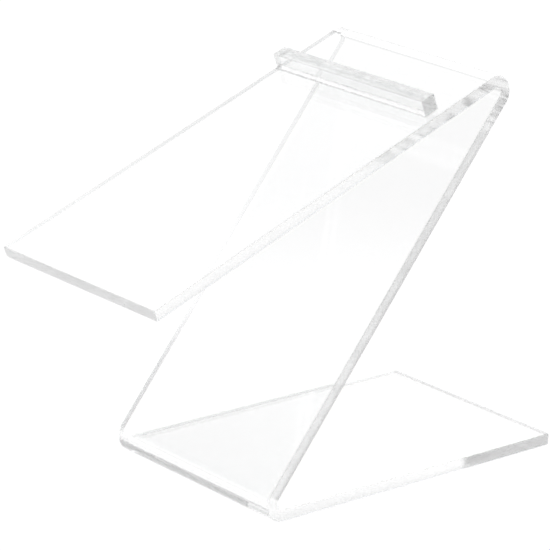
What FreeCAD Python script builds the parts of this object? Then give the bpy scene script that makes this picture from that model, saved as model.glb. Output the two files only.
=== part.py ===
import FreeCAD, Part

# Sloped display stand in clear acrylic.
#
# One strip of sheet is line-bent twice into a Z: a flat base on the table, a strut
# that leans back from the front bend, and a platform that slopes down towards the
# front from the top bend. A square bar cemented across the platform near its high
# end stops whatever stands on the slope.
#
# Frame: millimetres. +Z is up and the table is Z = 0. +Y points to the rear, +X runs
# across the strip. The origin is the middle of the bottom of the bounding box.

import math
import os

from FreeCAD import Vector

# ---- Sheet (angles in degrees)
strip_width = 88.9          # across the stand, 3 1/2 in
sheet_thickness = 4.76      # nominal 3/16 in
base_flat = 137.6           # front bend tangent to rear edge
strut_flat = 170.4          # between the two bends
platform_flat = 169.1       # top bend tangent to front edge
strut_angle = 52.2          # strut above the table
platform_slope = 21.3       # platform below horizontal, towards the front
front_bend_radius = 2.9     # inside radius
top_bend_radius = 2.2       # inside radius
sheet_edge_break = 0.25     # chamfer on the strip's edges

# ---- Stop bar
bar_side = 6.35             # square section, 1/4 in
bar_length = 84.0           # across the stand
bar_middle_x = -1.35        # the bar sits slightly off the strip's middle
bar_ledge = 25.4            # top bend tangent to the bar's rear face, 1 in
bar_edge_break = 0.20

# ---- Cement
cement_thickness = 0.10     # film under the bar
bead_leg = 0.45             # width and height of the bead round the bar's foot
bead_top_margin = 0.01      # how far the bead's top outline stands outside the bar

coincidence = 1e-6          # distance below which two positions count as equal

# ---- Section of the sheet
# Drawn in the YZ plane with y = 0 at the front bend's tangent point on the table.
# "Under" is the sheet face on the table, up the strut's front and under the platform.
# "Upper" is the opposite face.


def direction(angle):
    """Unit vector in the YZ plane, angle in degrees from +Y towards +Z."""
    return Vector(0, math.cos(math.radians(angle)), math.sin(math.radians(angle)))


def bend_points(centre, radius, start_angle, turn):
    """Start, middle and end of a bend's arc."""
    return [centre + direction(start_angle + turn * part) * radius for part in (0, 0.5, 1)]


uphill = direction(platform_slope)
downhill = -uphill
platform_normal = direction(platform_slope + 90)

rear_under = Vector(0, base_flat, 0)
rear_upper = Vector(0, base_flat, sheet_thickness)

# Both bends are followed from the base towards the platform.
front_centre = Vector(0, 0, front_bend_radius + sheet_thickness)
front_turn = strut_angle - 180
front_under = bend_points(front_centre, front_bend_radius + sheet_thickness, -90, front_turn)
front_upper = bend_points(front_centre, front_bend_radius, -90, front_turn)

top_centre = (front_under[-1] + direction(strut_angle) * strut_flat
              + direction(strut_angle + 90) * top_bend_radius)
top_start = strut_angle - 90
top_turn = 180 - strut_angle + platform_slope
top_under = bend_points(top_centre, top_bend_radius, top_start, top_turn)
top_upper = bend_points(top_centre, top_bend_radius + sheet_thickness, top_start, top_turn)

free_under = top_under[-1] + downhill * platform_flat
free_upper = top_upper[-1] + downhill * platform_flat

# The chamfer moves the foremost point a little behind the sharp corner free_upper.
foremost_y = free_upper.y + sheet_edge_break * math.sin(math.radians(platform_slope))
centring = Vector(0, -(base_flat + foremost_y) / 2, 0)

# ---- Bar outline on the platform
# u is measured up the slope from the platform's front edge.
bar_rear_u = platform_flat - bar_ledge
bar_front_u = bar_rear_u - bar_side
bar_min_x = bar_middle_x - bar_length / 2
bar_max_x = bar_middle_x + bar_length / 2


def on_platform(x, u, height):
    """Point in the stand's frame, height measured square to the upper face."""
    return free_upper + centring + Vector(x, 0, 0) + uphill * u + platform_normal * height


def bar_outline(margin, height):
    """The bar's rectangle grown by margin on every side."""
    min_x, max_x = bar_min_x - margin, bar_max_x + margin
    front_u, rear_u = bar_front_u - margin, bar_rear_u + margin
    corners = [(min_x, front_u), (max_x, front_u), (max_x, rear_u), (min_x, rear_u)]
    points = [on_platform(x, u, height) for x, u in corners]
    return Part.makePolygon(points + points[:1])


def bar_block(bottom, height):
    """A block with the bar's footprint, starting at bottom above the platform."""
    return Part.Face(bar_outline(0, bottom)).extrude(platform_normal * height)


# ---- Pieces
def make_folded_sheet():
    # The platform's upper face is divided at the bead's front and rear lines, so
    # the areas before and behind the bar are faces of their own.
    bead_front = free_upper + uphill * (bar_front_u - bead_leg)
    bead_rear = free_upper + uphill * (bar_rear_u + bead_leg)

    # Two points make a line, three make an arc.
    segments = [
        [rear_under, front_under[0]],
        front_under,
        [front_under[-1], top_under[0]],
        top_under,
        [top_under[-1], free_under],
        [free_under, free_upper],
        [free_upper, bead_front],
        [bead_front, bead_rear],
        [bead_rear, top_upper[-1]],
        top_upper[::-1],
        [top_upper[0], front_upper[-1]],
        front_upper[::-1],
        [front_upper[0], rear_upper],
        [rear_upper, rear_under],
    ]
    to_side = centring + Vector(-strip_width / 2, 0, 0)
    edges = []
    for segment in segments:
        curve = Part.Arc if len(segment) == 3 else Part.LineSegment
        edges.append(curve(*[point + to_side for point in segment]).toShape())
    sheet = Part.Face(Part.Wire(edges)).extrude(Vector(strip_width, 0, 0))

    # Chamfer both side outlines and the edges across the strip's two ends.
    end_corners = [point + centring for point in (rear_under, rear_upper, free_under, free_upper)]

    def is_arris(edge):
        if edge.BoundBox.XLength < coincidence:
            return True
        point = edge.Vertexes[0].Point
        return any(math.hypot(point.y - corner.y, point.z - corner.z) < coincidence
                   for corner in end_corners)

    arrises = [edge for edge in sheet.Edges if is_arris(edge)]
    return sheet.makeChamfer(sheet_edge_break, arrises).Solids[0]


def make_stop_bar():
    bar = bar_block(cement_thickness, bar_side)

    # Every edge is chamfered except the four round the foot.
    middle_level = on_platform(0, 0, cement_thickness + bar_side / 2).dot(platform_normal)
    edges = [edge for edge in bar.Edges
             if max(v.Point.dot(platform_normal) for v in edge.Vertexes) > middle_level]
    return bar.makeChamfer(bar_edge_break, edges).Solids[0]


def make_cement_film():
    # A film under the whole foot of the bar, with a sloping bead round it.
    film = bar_block(0, cement_thickness)
    outlines = [bar_outline(bead_leg, 0), bar_outline(bead_top_margin, bead_leg)]
    bead = Part.makeLoft(outlines, True, True)  # solid, ruled
    # The cutter is taller than the bar, so it clears the top of the bead.
    bar_void = bar_block(cement_thickness, bar_side * 2)
    return bead.cut(bar_void).fuse(film).removeSplitter().Solids[0]


parts = {
    "folded_sheet": make_folded_sheet(),
    "stop_bar": make_stop_bar(),
    "cement_film": make_cement_film(),
}

os.makedirs("parts", exist_ok=True)
for name, shape in parts.items():
    if not shape.isValid():
        raise RuntimeError("bad solid: " + name)
    shape.exportStep("parts/" + name + ".step")
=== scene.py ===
"""A stand of clear acrylic: one sheet folded twice, with a stop bar cemented across it.

Units are metres, +Z is up and the front is towards -Y. The base lies flat on z = 0. From its
front edge the sheet bends up into a strut that leans back, then folds forward into a platform
that slopes down to a free edge at the front. The bar lies across the platform's upper face.
"""
import math

import bmesh
import bpy
from mathutils import Matrix, Vector


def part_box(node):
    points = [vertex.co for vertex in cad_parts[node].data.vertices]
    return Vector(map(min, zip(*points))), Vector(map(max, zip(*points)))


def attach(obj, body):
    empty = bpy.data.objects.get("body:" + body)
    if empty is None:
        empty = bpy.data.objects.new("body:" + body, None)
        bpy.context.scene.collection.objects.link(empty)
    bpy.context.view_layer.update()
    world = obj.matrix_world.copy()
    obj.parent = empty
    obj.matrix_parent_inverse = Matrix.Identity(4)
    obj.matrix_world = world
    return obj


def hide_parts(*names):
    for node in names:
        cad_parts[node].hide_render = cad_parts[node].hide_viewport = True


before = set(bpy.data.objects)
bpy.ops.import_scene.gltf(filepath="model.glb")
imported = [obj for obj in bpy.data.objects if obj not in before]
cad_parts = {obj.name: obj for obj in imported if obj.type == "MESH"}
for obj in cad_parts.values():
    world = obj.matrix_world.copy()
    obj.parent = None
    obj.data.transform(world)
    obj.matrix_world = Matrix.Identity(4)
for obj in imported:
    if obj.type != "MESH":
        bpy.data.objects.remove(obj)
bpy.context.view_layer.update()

scene = bpy.context.scene

# --------------------------------------------------------------------------
# Sizes
# --------------------------------------------------------------------------
MM = 0.001
WIDTH = 88.9 * MM
THICK = 4.76 * MM
BASE = 137.6 * MM               # lengths of the flat parts, between the bends' tangent lines
STRUT = 170.4 * MM
PLATFORM = 169.1 * MM
STRUT_ANGLE = math.radians(52.2)        # both from the horizontal
SLOPE_ANGLE = math.radians(21.3)
FRONT_RADIUS = 2.9 * MM         # inner radii of the two bends
TOP_RADIUS = 2.2 * MM
ARRIS = 0.25 * MM               # rounding of the sheet's edges
BAR = 6.35 * MM                 # side of the bar's square section
BAR_LEN = 84.0 * MM
BAR_SHIFT = -1.35 * MM          # of the bar's middle, along X
BAR_ARRIS = 0.2 * MM
LEDGE = 25.4 * MM               # platform left uphill of the bar
FILM = 0.10 * MM                # cement under the bar
BEAD = 0.45 * MM                # nominal size of the cement bead round the bar's foot
BEAD_TOP = BEAD * 0.80          # where the bead ends on the bar's downhill side
UPHILL = 0.40                   # the bead's size uphill, against downhill

FRONT_TURN = math.pi - STRUT_ANGLE
TOP_TURN = math.pi - STRUT_ANGLE + SLOPE_ANGLE
BEND_STEPS = 72
ARC_STEPS = 4                   # round each arris

Y_FRONT_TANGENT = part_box("folded_sheet")[1].y - BASE      # where the base meets the front bend
X_AXIS = Vector((1.0, 0.0, 0.0))


# --------------------------------------------------------------------------
# Sweeping a rounded rectangle
# --------------------------------------------------------------------------
def rounded_ring(origin, across, up, half_width, low, high, radius, scale):
    """Points and normals round a rectangle, [-half_width, half_width] across by [low, high] up.

    scale shrinks the corner arcs: 1 on the body of the piece, falling to 0 on an end cap."""
    points, normals = [], []
    right, bottom, top = half_width - radius, low + radius, high - radius
    corners = ((right, bottom, -90), (right, top, 0), (-right, top, 90), (-right, bottom, 180))
    for at_across, at_up, start in corners:
        for k in range(ARC_STEPS + 1):
            angle = math.radians(start + 90.0 * k / ARC_STEPS)
            cos, sin = math.cos(angle), math.sin(angle)
            points.append(origin + across * (at_across + radius * scale * cos)
                          + up * (at_up + radius * scale * sin))
            normals.append(across * cos + up * sin)
    return points, normals


def sweep(stations, across, half_width, low, high, radius):
    """Rings of a rounded rectangle along stations (origin, tangent, up), with rounded ends."""
    rings, ring_normals = [], []

    def add_ring(origin, up, phi, outward=None):
        scale = math.sin(phi)
        points, normals = rounded_ring(origin, across, up, half_width, low, high, radius, scale)
        if outward:
            normals = [v * scale + outward * math.cos(phi) for v in normals]
        rings.append(points)
        ring_normals.append(normals)

    def add_end(origin, outward, up, steps):
        for k in steps:
            phi = math.radians(90.0 * k / ARC_STEPS)
            add_ring(origin - outward * (radius * (1 - math.cos(phi))), up, phi, outward)

    origin, tangent, up = stations[0]
    add_end(origin, -tangent, up, range(ARC_STEPS + 1))
    for origin, _, up in stations[1:-1]:
        add_ring(origin, up, math.pi / 2)
    origin, tangent, up = stations[-1]
    add_end(origin, tangent, up, range(ARC_STEPS, -1, -1))
    return rings, ring_normals


def smooth_object(name, verts, faces):
    mesh = bpy.data.meshes.new(name)
    mesh.from_pydata(verts, [], faces)
    mesh.update()
    mesh.shade_smooth()
    ob = bpy.data.objects.new(name, mesh)
    scene.collection.objects.link(ob)
    return ob


def closed_tube(name, rings, ring_normals):
    """A tube with flat caps and the exact normal at each vertex. Repeated points are merged."""
    known, verts, vert_normals, rows = {}, [], [], []
    for points, normals in zip(rings, ring_normals):
        row = []
        for point, normal in zip(points, normals):
            key = tuple(round(c * 1e8) for c in point)
            if key not in known:
                known[key] = len(verts)
                verts.append(tuple(point))
                vert_normals.append(normal)
            row.append(known[key])
        rows.append(row)
    faces = []
    count = len(rows[0])

    def add_face(loop):
        corners = tuple(dict.fromkeys(loop))
        if len(corners) > 2:
            faces.append(corners)

    for row, after in zip(rows, rows[1:]):
        for j in range(count):
            k = (j + 1) % count
            add_face((row[j], row[k], after[k], after[j]))
    add_face(rows[0][::-1])
    add_face(rows[-1])
    ob = smooth_object(name, verts, faces)
    ob.data.normals_split_custom_set(
        [tuple(vert_normals[loop.vertex_index]) for loop in ob.data.loops])
    return ob


# --------------------------------------------------------------------------
# The folded sheet. Face A is the base's underside, face B the platform's upper face.
# --------------------------------------------------------------------------
def straight(start, tangent, normal, length, shares):
    """Stations of a flat part, at these shares of its length."""
    return [(Vector((start[0] + tangent[0] * length * share,
                     start[1] + tangent[1] * length * share)),
             Vector(tangent), Vector(normal)) for share in shares]


def rotated(v, angle):
    cos, sin = math.cos(angle), math.sin(angle)
    return Vector((v.x * cos - v.y * sin, v.x * sin + v.y * cos))


def strip_stations():
    """(point on face A, tangent, normal from A to B) in (y, z), from the base's rear edge."""
    out = straight((Y_FRONT_TANGENT + BASE, 0.0), (-1.0, 0.0), (0.0, 1.0), BASE,
                   (0.0, 0.33, 0.66, 0.93, 1.0))
    # front bend: the centre lies beyond face B
    outer = FRONT_RADIUS + THICK
    centre = Vector((Y_FRONT_TANGENT, outer))
    for i in range(1, BEND_STEPS + 1):
        angle = FRONT_TURN * i / BEND_STEPS
        normal = Vector((math.sin(angle), math.cos(angle)))
        out.append((centre - normal * outer, Vector((-math.cos(angle), math.sin(angle))), normal))
    out += straight(*out[-1], STRUT, (0.07, 0.35, 0.65, 0.93, 1.0))
    # top bend: the centre lies in front of face A
    point, tangent, normal = out[-1]
    centre = point - normal * TOP_RADIUS
    for i in range(1, BEND_STEPS + 1):
        angle = TOP_TURN * i / BEND_STEPS
        turned = rotated(normal, angle)
        out.append((centre + turned * TOP_RADIUS, rotated(tangent, angle), turned))
    out += straight(*out[-1], PLATFORM, (0.05, 0.12, 0.22, 0.6, 1.0))
    return out


stations = [tuple(Vector((0.0, v[0], v[1])) for v in station) for station in strip_stations()]
sheet = closed_tube("sheet_clear", *sweep(stations, X_AXIS, WIDTH / 2, 0.0, THICK, ARRIS))

# The platform's own frame: x across, u up the slope from the free edge, h off the upper face
end_point, end_tangent, NORMAL = stations[-1]
UP = -end_tangent
FREE = end_point + NORMAL * THICK                         # upper free edge, at x = 0


def on_platform(x, u, h):
    return FREE + UP * u + NORMAL * h + X_AXIS * x


# --------------------------------------------------------------------------
# The bar
# --------------------------------------------------------------------------
BAR_U1 = PLATFORM - LEDGE
BAR_U0 = BAR_U1 - BAR
BAR_X0 = BAR_SHIFT - BAR_LEN / 2
BAR_X1 = BAR_SHIFT + BAR_LEN / 2
BAR_MID_U = (BAR_U0 + BAR_U1) / 2

bar_stations = [(on_platform(BAR_X0 + (BAR_X1 - BAR_X0) * share, BAR_MID_U, 0.0), X_AXIS, NORMAL)
                for share in (0.0, 0.02, 0.25, 0.5, 0.75, 0.98, 1.0)]
bar = closed_tube("bar_clear", *sweep(bar_stations, UP, BAR / 2, FILM, FILM + BAR, BAR_ARRIS))


# --------------------------------------------------------------------------
# The cement: a film under the bar and a hollow bead round its foot. It was run in
# from the downhill side by hand, so its width wanders and little came out uphill.
# --------------------------------------------------------------------------
def bead_width(x, u):
    """The nominal size with a long and a short wave added."""
    long_wave = math.sin(x * 310.0 + u * 900.0)
    short_wave = math.sin(x * 870.0 + 1.7)
    return BEAD * (0.80 + 0.12 * long_wave + 0.08 * short_wave)


def foot_loop(share, height, inward=0.0, tapered=True):
    """A rounded loop round the bar's foot, share of the bead's width outside it."""
    points = []
    long_steps, short_steps, corner_steps = 56, 6, 5
    hx, hu = BAR_LEN / 2, BAR / 2
    middle_x = (BAR_X0 + BAR_X1) / 2

    def put(x, u, out_x, out_u):
        size = (1 + UPHILL) / 2 - (1 - UPHILL) / 2 * u / hu if tapered else 1.0
        width = bead_width(x, u) * size * share - inward
        points.append(on_platform(middle_x + x + out_x * width, BAR_MID_U + u + out_u * width,
                                  height * size))

    # start, end, outward direction, its angle, steps; a corner follows each side
    sides = (((-hx, -hu), (hx, -hu), (0, -1), -90, long_steps),
             ((hx, -hu), (hx, hu), (1, 0), 0, short_steps),
             ((hx, hu), (-hx, hu), (0, 1), 90, long_steps),
             ((-hx, hu), (-hx, -hu), (-1, 0), 180, short_steps))
    for (x0, u0), (x1, u1), outward, degrees, steps in sides:
        for k in range(steps):
            put(x0 + (x1 - x0) * k / steps, u0 + (u1 - u0) * k / steps, *outward)
        for k in range(corner_steps):
            angle = math.radians(degrees + 90 * k / corner_steps)
            put(x1, u1, math.cos(angle), math.sin(angle))
    return points


def build_cement():
    loops = []
    slope_steps = 6
    for k in range(slope_steps + 1):            # hollow slope, from the sheet up to the bar
        angle = math.radians(90.0 * k / slope_steps)
        loops.append(foot_loop(1 - math.sin(angle) * 0.97, BEAD * (1 - math.cos(angle)) * 0.85))
    # down again, just inside the bar's faces, to the top of the film
    loops.append(foot_loop(0.0, BEAD_TOP, inward=0.005 * MM))
    loops.append(foot_loop(0.0, FILM, inward=0.02 * MM, tapered=False))
    verts = [tuple(point) for loop in loops for point in loop]
    n = len(loops[0])
    faces = [(i * n + j, i * n + (j + 1) % n, (i + 1) * n + (j + 1) % n, (i + 1) * n + j)
             for i in range(len(loops) - 1) for j in range(n)]
    faces.append(tuple(range(n))[::-1])
    faces.append(tuple(range((len(loops) - 1) * n, len(loops) * n)))
    ob = smooth_object("cement_clear", verts, faces)
    ob.data.set_sharp_from_angle(angle=math.radians(40))
    return ob


cement = build_cement()


# --------------------------------------------------------------------------
# Node trees
# --------------------------------------------------------------------------
class Nodes:
    """A short way to write node trees. Arguments may be sockets or plain values."""

    def __init__(self, owner):
        owner.use_nodes = True
        self.owner = owner
        self.tree = owner.node_tree
        self.tree.nodes.clear()

    def node(self, kind, **values):
        made = self.tree.nodes.new(kind)
        for key, value in values.items():
            setattr(made, key, value)
        return made

    def link(self, source, target):
        self.tree.links.new(source, target)

    def fill(self, node, values):
        for socket, value in zip(node.inputs, values):
            if hasattr(value, "is_output"):
                self.link(value, socket)
            else:
                socket.default_value = value
        return node

    def math(self, operation, *values):
        return self.fill(self.node("ShaderNodeMath", operation=operation), values).outputs[0]

    def chain(self, operation, first, *others):
        for other in others:
            first = self.math(operation, first, other)
        return first

    def multiply(self, *values):
        return self.chain("MULTIPLY", *values)

    def maximum(self, *values):
        return self.chain("MAXIMUM", *values)

    def add(self, a, b):
        return self.math("ADD", a, b)

    def subtract(self, a, b):
        return self.math("SUBTRACT", a, b)

    def above(self, a, limit):
        return self.math("GREATER_THAN", a, limit)

    def below(self, a, limit):
        return self.math("LESS_THAN", a, limit)

    def between(self, a, low, high):
        return self.multiply(self.above(a, low), self.below(a, high))

    def scale_add(self, a, scale, offset):
        return self.math("MULTIPLY_ADD", a, scale, offset)

    def vector(self, operation, *values):
        made = self.fill(self.node("ShaderNodeVectorMath", operation=operation), values)
        return made.outputs["Value" if operation in ("DOT_PRODUCT", "LENGTH") else 0]

    def dot(self, a, b):
        return self.vector("DOT_PRODUCT", a, b)

    def ramp(self, a, start, end, at_start=0.0, at_end=1.0, kind="SMOOTHSTEP"):
        """A step from at_start, where a is start, to at_end, where a is end."""
        made = self.node("ShaderNodeMapRange", interpolation_type=kind)
        return self.fill(made, (a, start, end, at_start, at_end)).outputs[0]

    def noise(self, where, scale, detail, rough=0.5, stretch=None):
        """Noise in 0..1, scale in waves per metre."""
        made = self.node("ShaderNodeTexNoise", noise_dimensions="3D")
        made.inputs["Scale"].default_value = scale
        made.inputs["Detail"].default_value = detail
        made.inputs["Roughness"].default_value = rough
        place = self.vector("MULTIPLY", where, stretch) if stretch else where
        self.link(place, made.inputs["Vector"])
        return made.outputs["Fac"]


# --------------------------------------------------------------------------
# Acrylic
# --------------------------------------------------------------------------
IOR = 1.491
ABSORB = 1.1              # per metre
CUT_ROUGHNESS = 0.36
CUT_HAZE = 0.50           # part of the light that a machined face scatters instead of passing
BOND_HAZE = 0.20          # the same for the fine bubbles in the cement
SMEAR = 0.012             # roughness of smears on the cast faces
SCRATCH = 0.05            # roughness of hairline scratches there
WAVINESS = 26e-6          # height of the cast sheet's slow waves
CHATTER = 4e-6            # height of the tool marks on cut faces


def acrylic(name, bonded, cut, tint, shade=0.0):
    """Clear cast acrylic.

    bonded(m, x, u, h) is 1 where a face is fused to its neighbour and light goes straight on;
    cut(m, coord, x, u, h) says how coarsely a face was machined, which leaves it satin;
    shade is painted shade: the base colour of faces cut half as coarsely as the coarsest is
    darkened by up to this much."""
    m = Nodes(bpy.data.materials.new(name))
    coord = m.node("ShaderNodeTexCoord").outputs["Object"]
    surface = m.node("ShaderNodeBsdfPrincipled")
    out = m.node("ShaderNodeOutputMaterial")
    m.link(surface.outputs[0], out.inputs["Surface"])
    from_edge = m.vector("SUBTRACT", coord, tuple(FREE))
    x, u, h = (m.dot(from_edge, tuple(axis)) for axis in (X_AXIS, UP, NORMAL))
    mask = bonded(m, x, u, h)
    free = m.subtract(1.0, mask)
    edge = m.multiply(cut(m, coord, x, u, h), free)
    cast = m.multiply(m.below(edge, 0.05), free)
    m.link(m.subtract(IOR, m.multiply(mask, IOR - 1.0)), surface.inputs["IOR"])

    # handling marks on the cast faces: broad smears, and scratches in two directions
    cloud = m.noise(coord, scale=26.0, detail=2.0, rough=0.62, stretch=(1.0, 0.45, 1.7))
    smear = m.ramp(cloud, start=0.50, end=0.72)
    along_x = m.noise(coord, scale=900.0, detail=0.0, stretch=(0.035, 1.0, 0.6))
    across_x = m.noise(coord, scale=1100.0, detail=0.0, stretch=(1.0, 0.05, 0.05))
    lines = m.maximum(m.ramp(along_x, start=0.735, end=0.775),
                      m.ramp(across_x, start=0.745, end=0.785))
    marks = m.multiply(m.add(m.multiply(smear, SMEAR), m.multiply(lines, SCRATCH)), cast)
    # cutter marks on the edges: patches more and less dressed, over a fine grain
    patch = m.noise(coord, scale=140.0, detail=1.0)
    dressed = m.scale_add(patch, scale=0.7, offset=0.65)
    grain = m.noise(coord, scale=900.0, detail=1.0, rough=0.6)
    texture = m.multiply(dressed, m.scale_add(grain, scale=0.5, offset=0.75))
    cut_rough = m.multiply(m.multiply(edge, CUT_ROUGHNESS), texture)
    m.link(m.add(marks, cut_rough), surface.inputs["Roughness"])

    # haze: machined faces seen from outside, and bubbles in the bond
    outside = m.subtract(1.0, m.node("ShaderNodeNewGeometry").outputs["Backfacing"])
    haze = m.multiply(m.math("POWER", edge, 1.5), outside, CUT_HAZE,
                      m.scale_add(patch, scale=-0.5, offset=1.25))
    foam = m.ramp(grain, start=0.42, end=0.66)
    haze = m.add(haze, m.multiply(mask, foam, BOND_HAZE))
    m.link(m.subtract(1.0, haze), surface.inputs["Transmission Weight"])

    # relief
    wave = m.multiply(m.noise(coord, scale=14.0, detail=0.0), WAVINESS)
    chatter = m.multiply(grain, edge, CHATTER)
    bump = m.node("ShaderNodeBump")
    bump.inputs["Strength"].default_value = 1.0
    bump.inputs["Distance"].default_value = 1.0
    m.link(m.multiply(m.add(wave, chatter), free), bump.inputs["Height"])
    m.link(bump.outputs["Normal"], surface.inputs["Normal"])

    # colour: sockets 6 and 7 are the mix's two colours, output 2 its colour result
    mix = m.node("ShaderNodeMix", data_type="RGBA")
    m.link(cloud, mix.inputs["Factor"])
    mix.inputs[6].default_value = (1.0, 1.0, 1.0, 1.0)
    mix.inputs[7].default_value = tint
    # painted shade: the base colour is darkened by up to shade where edge is 0.5 (the sheet's
    # long edges), and not at all on cast faces or the coarsest cuts
    painted_edge_shade = m.multiply(edge, m.subtract(1.0, edge), -4.0 * shade)
    shaded = m.node("ShaderNodeVectorMath", operation="SCALE")
    m.link(mix.outputs[2], shaded.inputs[0])
    m.link(m.add(painted_edge_shade, 1.0), shaded.inputs["Scale"])
    m.link(shaded.outputs[0], surface.inputs["Base Color"])

    volume = m.node("ShaderNodeVolumeAbsorption")
    volume.inputs["Color"].default_value = (0.0, 0.0, 0.0, 1)
    volume.inputs["Density"].default_value = ABSORB
    m.link(volume.outputs[0], out.inputs["Volume"])
    return m.owner


# Cut faces: how deep they reach into the arris, and how coarse each is (1 is coarsest)
SHEET_SKIN = ARRIS * 0.6
BAR_SKIN = 0.12 * MM
# the long edges' 0.5 also gives them the full painted shade in acrylic()
SIDE_COARSE = 0.5         # the sheet's long edges were dressed finer than its two ends
BAR_TOP_COARSE = 0.5
BAR_COARSE = 0.3          # the rest of the bar


def bar_offset(m, x):
    """Distance along X from the bar's middle."""
    return m.math("ABSOLUTE", m.subtract(x, BAR_SHIFT))


def sheet_cut(m, coord, x, u, h):
    y = m.dot(coord, (0.0, 1.0, 0.0))
    side = m.above(m.math("ABSOLUTE", x), WIDTH / 2 - SHEET_SKIN)
    side = m.multiply(side, SIDE_COARSE)
    rear = m.above(y, Y_FRONT_TANGENT + BASE - SHEET_SKIN)
    near_platform = m.below(m.math("ABSOLUTE", m.add(h, THICK / 2)), THICK)
    front = m.multiply(m.below(u, SHEET_SKIN), near_platform)
    return m.maximum(side, rear, front)


def bar_cut(m, coord, x, u, h):
    ends = m.above(bar_offset(m, x), BAR_LEN / 2 - BAR_SKIN)
    top = m.above(h, FILM + BAR - BAR_SKIN)
    return m.maximum(m.multiply(ends, BAR_COARSE), m.multiply(top, BAR_TOP_COARSE), BAR_COARSE)


def cement_cut(m, coord, x, u, h):
    """Zero: no face of the cement is cut."""
    return m.multiply(u, 0.0)


def wet(m, x, u):
    """0 where the cement, drawn in from the bar's edges, hasn't reached and air is left."""
    depth_x = m.subtract(BAR_LEN / 2, bar_offset(m, x))
    depth_u = m.subtract(BAR / 2, m.math("ABSOLUTE", m.subtract(u, BAR_MID_U)))
    place = m.node("ShaderNodeCombineXYZ")
    m.link(x, place.inputs[0])
    m.link(u, place.inputs[1])
    creep = m.noise(place.outputs[0], scale=260.0, detail=3.0)
    reach = m.scale_add(creep, scale=2.0 * MM, offset=-0.35 * MM)
    return m.subtract(1.0, m.above(m.math("MINIMUM", depth_x, depth_u), reach))


def bead_size(m, u):
    """The bead's size at u, from 1 downhill of the bar to UPHILL."""
    return m.ramp(u, start=BAR_U0, end=BAR_U1, at_start=1.0, at_end=UPHILL, kind="LINEAR")


def sheet_bond(m, x, u, h):
    spread = BEAD * 0.8                         # of the bond beyond the bar's foot, downhill
    reach = m.scale_add(bead_size(m, u), spread, BAR_LEN / 2)
    in_x = m.below(bar_offset(m, x), reach)
    in_u = m.between(u, BAR_U0 - spread, BAR_U1 + spread * UPHILL)
    on_face = m.between(h, -0.05 * MM, 0.05 * MM)
    return m.multiply(in_x, in_u, on_face, wet(m, x, u))


def bar_bond(m, x, u, h):
    return m.multiply(m.below(m.math("DIVIDE", h, bead_size(m, u)), BEAD_TOP), wet(m, x, u))


def cement_bond(m, x, u, h):
    margin = 0.01 * MM
    in_x = m.between(x, BAR_X0 - margin, BAR_X1 + margin)
    in_u = m.between(u, BAR_U0 - margin, BAR_U1 + margin)
    on_sheet = m.below(h, 0.004 * MM)
    return m.maximum(m.multiply(in_x, in_u), on_sheet)


# shade=0.06: painted shade, the sheet's long edges coloured 6 per cent darker
mat_sheet = acrylic("acrylic_sheet", sheet_bond, sheet_cut,
                    tint=(0.992, 0.998, 0.997, 1.0), shade=0.06)
mat_bar = acrylic("acrylic_bar", bar_bond, bar_cut, tint=(0.990, 0.997, 0.996, 1.0))
mat_cement = acrylic("acrylic_cement", cement_bond, cement_cut, tint=(0.985, 0.992, 0.988, 1.0))

for ob, material, node, slot in (
        (sheet, mat_sheet, "folded_sheet", "clear_acrylic_sheet"),
        (bar, mat_bar, "stop_bar", "clear_acrylic_bar"),
        (cement, mat_cement, "cement_film", "clear_cement")):
    ob.data.materials.append(material)
    cad_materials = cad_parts[node].data.materials
    cad_materials.clear()
    cad_materials.append(material)
    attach(ob, "root")
    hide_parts(node)


# --------------------------------------------------------------------------
# Camera
# --------------------------------------------------------------------------
EYE = Vector((0.8453338077462821, -0.7461362646608904, 0.44112965898211765))
CAMERA_RIGHT = Vector((0.6481494823912859, 0.760519821661016, 0.03888250681996499))
CAMERA_UP = Vector((-0.2586181032616831, 0.17180659525341854, 0.9505783347482507))

cam_data = bpy.data.cameras.new("camera")
cam = bpy.data.objects.new("camera", cam_data)
scene.collection.objects.link(cam)
scene.camera = cam
cam_data.sensor_fit = "HORIZONTAL"
cam_data.sensor_width = 36.0
cam_data.lens = 206.0353964
cam_data.clip_start, cam_data.clip_end = 0.01, 100.0
back = CAMERA_RIGHT.cross(CAMERA_UP).normalized()
square_up = back.cross(CAMERA_RIGHT).normalized()
pose = Matrix((CAMERA_RIGHT, square_up, back)).transposed().to_4x4()
pose.translation = EYE
cam.matrix_world = pose

# --------------------------------------------------------------------------
# Studio: the table's glow and the lights stay with the camera, as when a piece
# is turned on a table, so that every side is seen in the same light
# --------------------------------------------------------------------------
# table glow against sideways over forward distance from the camera: to the left, to the right
FLOOR_LEFT = dict(start=-0.13, end=-0.33, at_start=0.812, at_end=0.35)
FLOOR_RIGHT = dict(start=0.13, end=0.33, at_start=0.812, at_end=0.68)
# against distance from the piece: light added close to it, light taken away far off
FLOOR_POOL = dict(start=0.40, end=0.12, at_start=0.0, at_end=0.12)
FLOOR_FAR = dict(start=0.9, end=2.4, at_start=0.0, at_end=0.10)
# light kept when looked along, not down on
FLOOR_GRAZING = dict(start=0.03, end=0.18, at_start=0.70, at_end=1.0)
FLOOR_SEEN = 0.93         # least glow that the camera itself sees: a plain white table

# from the room behind the camera to the wall behind the piece
AMBIENT = dict(start=-0.7, end=0.5, at_start=0.68, at_end=0.97)
OVERHEAD = 0.80           # added towards the zenith, with the square of the height
# light kept, from the foot of the wall upwards
HORIZON = dict(start=0.0, end=0.18, at_start=0.70, at_end=1.0)
WALL_SEEN = 1.15          # what the camera itself sees of the surroundings
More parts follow.
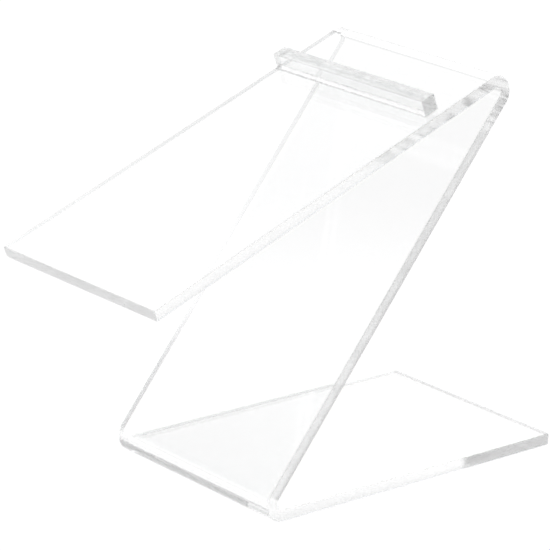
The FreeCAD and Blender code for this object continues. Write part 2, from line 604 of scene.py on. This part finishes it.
# azimuth, elevation, inner and outer radius in degrees, light added (or None), light kept;
# azimuth 0 is behind the piece, +90 on its right as the camera sees it
PANELS = (
    (60.0, 18.0, 25.0, 58.0, 1.6, 1.0),       # big soft box, behind and to the right
    (103.0, -4.0, 14.0, 50.0, None, 0.10),    # black card on the right
    (-88.0, 28.0, 14.0, 33.0, None, 0.18),    # black card high on the left
    (-38.0, 40.0, 8.0, 30.0, None, 0.97),     # grey scrim above it, towards the back
)


def floor_material():
    m = Nodes(bpy.data.materials.new("floor"))
    out = m.node("ShaderNodeOutputMaterial")
    diffuse = m.node("ShaderNodeBsdfDiffuse")
    diffuse.inputs["Color"].default_value = (0.15, 0.15, 0.15, 1)
    emission = m.node("ShaderNodeEmission")
    both = m.node("ShaderNodeAddShader")
    rays = m.node("ShaderNodeLightPath")
    seen = m.node("ShaderNodeSeparateXYZ")
    m.link(m.node("ShaderNodeTexCoord").outputs["Camera"], seen.inputs[0])
    forward = m.maximum(m.math("ABSOLUTE", seen.outputs[2]), 0.05)     # kept off zero
    aside = m.math("DIVIDE", seen.outputs[0], forward)
    distance = m.vector("LENGTH", m.node("ShaderNodeTexCoord").outputs["Object"])
    pool = m.ramp(distance, **FLOOR_POOL)
    far = m.ramp(distance, **FLOOR_FAR)
    glow = m.math("MINIMUM", m.ramp(aside, **FLOOR_LEFT), m.ramp(aside, **FLOOR_RIGHT))
    glow = m.add(glow, m.subtract(pool, far))
    geometry = m.node("ShaderNodeNewGeometry")
    steep = m.math("ABSOLUTE", m.dot(geometry.outputs["Incoming"], geometry.outputs["Normal"]))
    glow = m.multiply(glow, m.ramp(steep, **FLOOR_GRAZING))
    glow = m.maximum(glow, m.multiply(rays.outputs["Is Camera Ray"], FLOOR_SEEN))
    m.link(glow, emission.inputs["Strength"])
    m.link(diffuse.outputs[0], both.inputs[0])
    m.link(emission.outputs[0], both.inputs[1])
    m.link(both.outputs[0], out.inputs["Surface"])
    return m.owner


def build_floor():
    mesh = bpy.data.meshes.new("floor")
    bm = bmesh.new()
    bmesh.ops.create_circle(bm, cap_ends=True, radius=40.0, segments=96)
    bm.to_mesh(mesh)
    bm.free()
    floor = bpy.data.objects.new("floor", mesh)
    floor.location = (0, 0, -0.02 * MM)         # just clear of the base's underside
    scene.collection.objects.link(floor)
    mesh.materials.append(floor_material())


def toward(azimuth, elevation):
    """Unit (right, forward, up) of a direction in degrees."""
    a, e = math.radians(azimuth), math.radians(elevation)
    return (math.sin(a) * math.cos(e), math.cos(a) * math.cos(e), math.sin(e))


def build_world():
    world = bpy.data.worlds.new("studio")
    scene.world = world
    m = Nodes(world)
    out = m.node("ShaderNodeOutputWorld")
    background = m.node("ShaderNodeBackground")
    cam_ray = m.node("ShaderNodeLightPath").outputs["Is Camera Ray"]
    direction = m.vector("NORMALIZE", m.node("ShaderNodeTexCoord").outputs["Generated"])

    # the camera's right, and forward along the floor
    turn = m.node("ShaderNodeVectorTransform", vector_type="VECTOR",
                  convert_from="CAMERA", convert_to="WORLD")
    turn.inputs[0].default_value = (1.0, 0.0, 0.0)
    right = m.vector("NORMALIZE", turn.outputs[0])
    forward = m.vector("CROSS_PRODUCT", (0.0, 0.0, 1.0), right)
    height = m.dot(direction, (0.0, 0.0, 1.0))
    local = m.node("ShaderNodeCombineXYZ")
    m.fill(local, (m.dot(direction, right), m.dot(direction, forward), height))

    light = m.ramp(m.dot(direction, forward), **AMBIENT)
    overhead = m.math("POWER", m.maximum(height, 0.0), 2.0)
    light = m.add(light, m.multiply(overhead, OVERHEAD))
    light = m.multiply(light, m.ramp(height, **HORIZON))
    for azimuth, elevation, inner, outer, added, kept in PANELS:
        near = m.dot(local.outputs[0], toward(azimuth, elevation))
        cover = m.ramp(near, start=math.cos(math.radians(outer)),
                       end=math.cos(math.radians(inner)))
        if added:
            light = m.add(light, m.multiply(cover, added))
        else:
            light = m.multiply(light, m.subtract(1.0, m.multiply(cover, 1.0 - kept)))
    light = m.add(m.multiply(light, m.subtract(1.0, cam_ray)), m.multiply(cam_ray, WALL_SEEN))
    background.inputs["Color"].default_value = (1, 1, 1, 1)
    m.link(light, background.inputs["Strength"])
    m.link(background.outputs[0], out.inputs["Surface"])


build_floor()
build_world()

# --------------------------------------------------------------------------
# Render settings
# --------------------------------------------------------------------------
view = scene.view_settings
view.view_transform = "Standard"
view.look = "None"
view.exposure = 0.0
view.gamma = 1.0
cycles = scene.cycles
cycles.filter_width = 2.0
cycles.sampling_pattern = "TABULATED_SOBOL"
cycles.use_denoising = True
cycles.denoising_input_passes = "RGB_ALBEDO"
cycles.max_bounces = 200        # light crosses the clear pieces many times
cycles.transmission_bounces = 200
cycles.glossy_bounces = 200
cycles.diffuse_bounces = 3
cycles.transparent_max_bounces = 16
cycles.caustics_reflective = True
cycles.caustics_refractive = True
